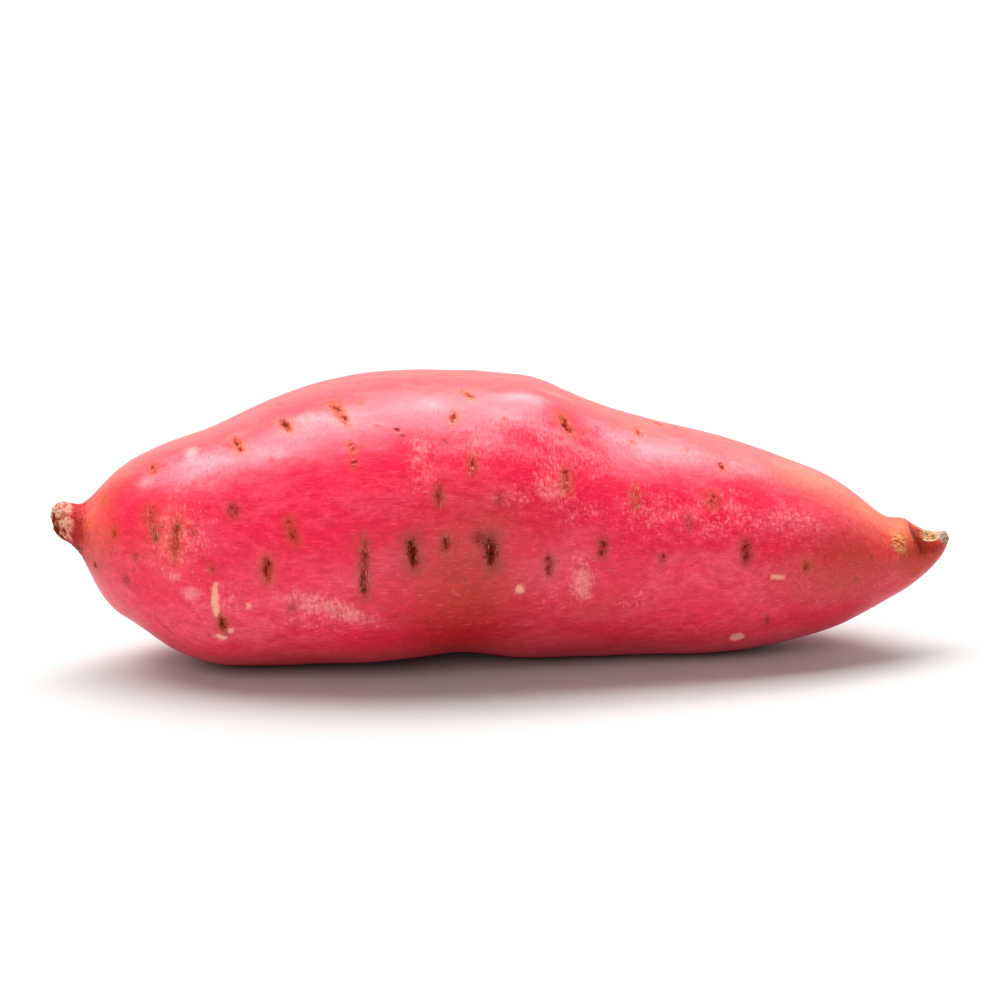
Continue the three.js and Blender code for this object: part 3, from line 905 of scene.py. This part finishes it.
def endColour(tree, tones, colour, noises):
    # the neck's collar and cork, the scab and crease on the tail's knob, and the torn face
    grain, pin = noises["grain"], noises["pin"]
    soil, shred = level(tree, "soil"), level(tree, "shred")
    colour = tree.mix(ragged(tree, "collar", noises), colour, tones["collar"])
    # painted shade on the neck's lower side: more of it turns as dark as the pits
    knob = level(tree, "knob") + (grain - 0.5) * 0.2 - soil * 0.2
    neck = tree.mix(tree.smooth(knob, 0.0, 0.14), tones["neckSkin"], tones["neckCork"])
    neck = tree.mix(tree.smooth(knob, 0.0, -0.1), neck, tones["neckPit"])
    pitShade = tree.smooth(soil + (pin - 0.5) * 1.6, 0.1, 1.1)
    neck = tree.mix(pitShade * finish["soil"], neck, tones["neckPit"])
    colour = tree.mix(level(tree, "neck"), colour, neck)
    colour = tree.mix(ragged(tree, "husk", noises), colour, tones["husk"])
    scabby = tree.mix(tree.smooth(shred, 0.04, -0.1), tones["scab"], tones["scabPit"])
    colour = tree.mix(ragged(tree, "scab", noises), colour, scabby)
    colour = tree.mix(ragged(tree, "scorch", noises), colour, tones["scorch"])
    torn = tree.mix(tree.smooth(shred, 0.05, -0.12), tones["torn"], tones["tornDark"])
    colour = tree.mix(level(tree, "torn"), colour, torn)
    colour = tree.mix(ragged(tree, "rim", noises), colour, tones["rim"])
    stubby = tree.mix(tree.smooth(grain, 0.4, 0.62), tones["tipDark"], tones["tip"])
    colour = tree.mix(ragged(tree, "stub", noises), colour, stubby)
    # painted shade along the fold before the torn face
    return tree.mix(ragged(tree, "crease", noises), colour, tones["crease"])


def waxySkin():
    material, tree = newMaterial("waxySkin")
    tones = {name: tint(code) for name, code in skinTones.items()}
    noises = {name: patterned(tree, size, stretch) for name, (size, stretch) in skinPatterns.items()}
    colour, worn = skinColour(tree, tones, noises)
    colour, seep = scarColour(tree, tones, colour, noises)
    grain = noises["grain"]
    freshness = tree.smooth(grain + level(tree, "fresh") * 0.35, 0.4, 0.8)
    flesh = tree.mix(freshness, tones["oldBare"], tones["bare"])
    colour = endColour(tree, tones, tree.mix(level(tree, "bareSkin"), colour, flesh), noises)

    # the cork, the broken ends and the bare flesh don't shine as the wax does
    dull = tree.maths("MAXIMUM", seep, level(tree, "collar") * finish["dullCollar"])
    # the painted shade underneath shines less as well
    dull = tree.maths("MAXIMUM", dull, level(tree, "belly") * finish["dullBellyPaintedShade"])
    for name in ("cork", "neck", "torn", "stub", "bareSkin", "matt", "scab"):
        dull = tree.maths("MAXIMUM", dull, level(tree, name))
    dull = tree.maths("MINIMUM", dull, 1.0)
    uneven = summed(noises, {"mottle": finish["unevenness"], "grain": finish["grainRoughness"]})
    rough = finish["roughness"] + uneven + worn * finish["wornRoughness"]
    # the painted highlight's zone is glossier too
    rough = rough - level(tree, "polish") * finish["polish"] - level(tree, "gleam") * finish["gleam"]
    rough = tree.maths("MAXIMUM", rough, finish["smoothest"])

    noises["ripple"] = patterned(tree, finish["ripple"], (0.5, 1.0, 1.0))
    normal = tree.add("ShaderNodeBump", None, {
        "Strength": finish["bump"], "Distance": finish["bumpHeight"] * mm,
        "Height": summed(noises, bumpShares)})
    wax = tree.add("ShaderNodeBsdfPrincipled", None, {
        "Base Color": colour, "Roughness": rough, "Normal": normal, "IOR": finish["ior"]})
    cork = tree.add("ShaderNodeBsdfPrincipled", None, {
        "Base Color": colour, "Roughness": finish["corkRoughness"], "Normal": normal,
        "IOR": finish["corkIor"]})
    shader = tree.add("ShaderNodeMixShader", None, {0: dull, 1: wax, 2: cork})
    tree.add("ShaderNodeOutputMaterial", None, {"Surface": shader})
    return material


def corkMaterial(name, dark, pale):
    # crumbs from dark to pale, each with its own tone
    material, tree = newMaterial(name)
    grain = patterned(tree, 0.3, detail=2.0)
    share = tree.smooth(level(tree, "tone") + (grain - 0.5) * 0.8, 0.15, 1.0)
    colour = tree.mix(share, tint(dark), tint(pale))
    shader = tree.add("ShaderNodeBsdfPrincipled", None, {
        "Base Color": colour, "Roughness": 0.8 + (grain - 0.5) * 0.3, "IOR": 1.2})
    tree.add("ShaderNodeOutputMaterial", None, {"Surface": shader})
    return material


studio = {
    "elevation": 14.0, "distance": 0.7, "lens": 113.2,  # degrees, metres and mm on a 36 mm sensor
    "aim": (-1.0, 0.0, 35.6),  # mm
    "floor": 14.0, "paper": "#c6c5c4", "paperRoughness": 0.8,
    "room": 0.26,
}
lights = {  # size and place in metres, and power
    "overhead softbox": ((6.2, 3.0), (-0.5, 1.2, 4.3), 385.0),
    "overhead strip": ((5.0, 0.25), (-0.5, 1.5, 3.8), 24.0),
    "back screen": ((7.0, 4.0), (0.0, 4.0, 2.2), 72.0),
    "front fill": ((5.0, 3.0), (-1.2, -3.9, 2.7), 102.0),
}


def makeCamera():
    camera = placed("camera", bpy.data.cameras.new("camera"))
    camera.data.lens = studio["lens"]
    aim = Vector(studio["aim"]) * mm
    angle = math.radians(studio["elevation"])
    back = Vector((0, -math.cos(angle), math.sin(angle)))
    camera.location = aim + back * studio["distance"]
    camera.rotation_euler = back.to_track_quat("Z", "Y").to_euler()
    bpy.context.scene.camera = camera


def makeLight(name, size, place, power):
    light = bpy.data.lights.new(name, "AREA")
    light.shape = "RECTANGLE"
    light.size, light.size_y = size
    light.energy = power
    lamp = placed(name, light)
    lamp.location = place
    lamp.rotation_euler = Vector(place).to_track_quat("Z", "Y").to_euler()
    lamp.visible_glossy = name != "front fill"  # it only softens the near side's shade


def makeStudio():
    makeCamera()
    for name, (size, place, power) in lights.items():
        makeLight(name, size, place, power)
    scene = bpy.context.scene
    scene.world = bpy.data.worlds.new("room")
    scene.world.use_nodes = True
    background = scene.world.node_tree.nodes["Background"]
    background.inputs["Color"].default_value = (1, 1, 1, 1)
    background.inputs["Strength"].default_value = studio["room"]
    scene.view_settings.view_transform = "Standard"

    bm = bmesh.new()
    bmesh.ops.create_grid(bm, x_segments=1, y_segments=1, size=studio["floor"] / 2)
    mesh = bpy.data.meshes.new("floor")
    bm.to_mesh(mesh)
    bm.free()
    floor = placed("floor", mesh)
    material, tree = newMaterial("paleFloor")
    shader = tree.add("ShaderNodeBsdfPrincipled", None, {
        "Base Color": tint(studio["paper"]), "Roughness": studio["paperRoughness"]})
    tree.add("ShaderNodeOutputMaterial", None, {"Surface": shader})
    mesh.materials.append(material)


makeStudio()
print("studio ready")

smoothMesh = subdivided(pairedRoot())
midline = readMidline(meshPoints(smoothMesh))
bmTree = bmesh.new()
bmTree.from_mesh(smoothMesh)
rootTree = BVHTree.FromBMesh(bmTree)
bmTree.free()
scars = allScars()
print("smooth root:", len(smoothMesh.polygons), "faces;", len(scars), "root scars")

refine(smoothMesh, wantedEdge)
points = meshPoints(smoothMesh)
for fields in (scarFields(points, scars), markFields(points), endFields(points), shadeFields(points),
               {"crease": creaseField(points)}):
    store(smoothMesh, fields)
rough = bpy.data.objects.new("rough_skin", smoothMesh)
print("refined skin:", len(points), "points")

skin = applyGroup(reliefGroup(), rough, {**relief, "Material": waxySkin()}, "skin")
triangles = sum(len(face.vertices) - 2 for face in skin.data.polygons)
print("skin relief:", triangles, "triangles")

crumbs = crumbGroup()
brownCork = corkMaterial("brownCork", "#3c1004", "#983c1a")
fadedCork = corkMaterial("fadedCork", "#8e4030", "#deaa92")
greyCork = corkMaterial("greyCork", "#7a6a50", "#d8c8a4")
tornValues = np.array([a.value for a in skin.data.attributes["torn"].data])
stubValues = np.array([a.value for a in skin.data.attributes["stub"].data])
store(skin.data, {"crumbly": np.maximum(tornValues * 0.7, stubValues)})
pieces = [skin]
for name, dials, material in (("scar_cork", scarCrumbs, brownCork), ("neck_cork", neckCrumbs, fadedCork),
                              ("tail_crumbs", tailCrumbs, greyCork)):
    pieces.append(applyGroup(crumbs, skin, {**dials, "Material": material}, name))
    print(name + ":", len(pieces[-1].data.polygons), "faces")

for piece in pieces:
    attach(piece, "root")
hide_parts("sweet_potato")
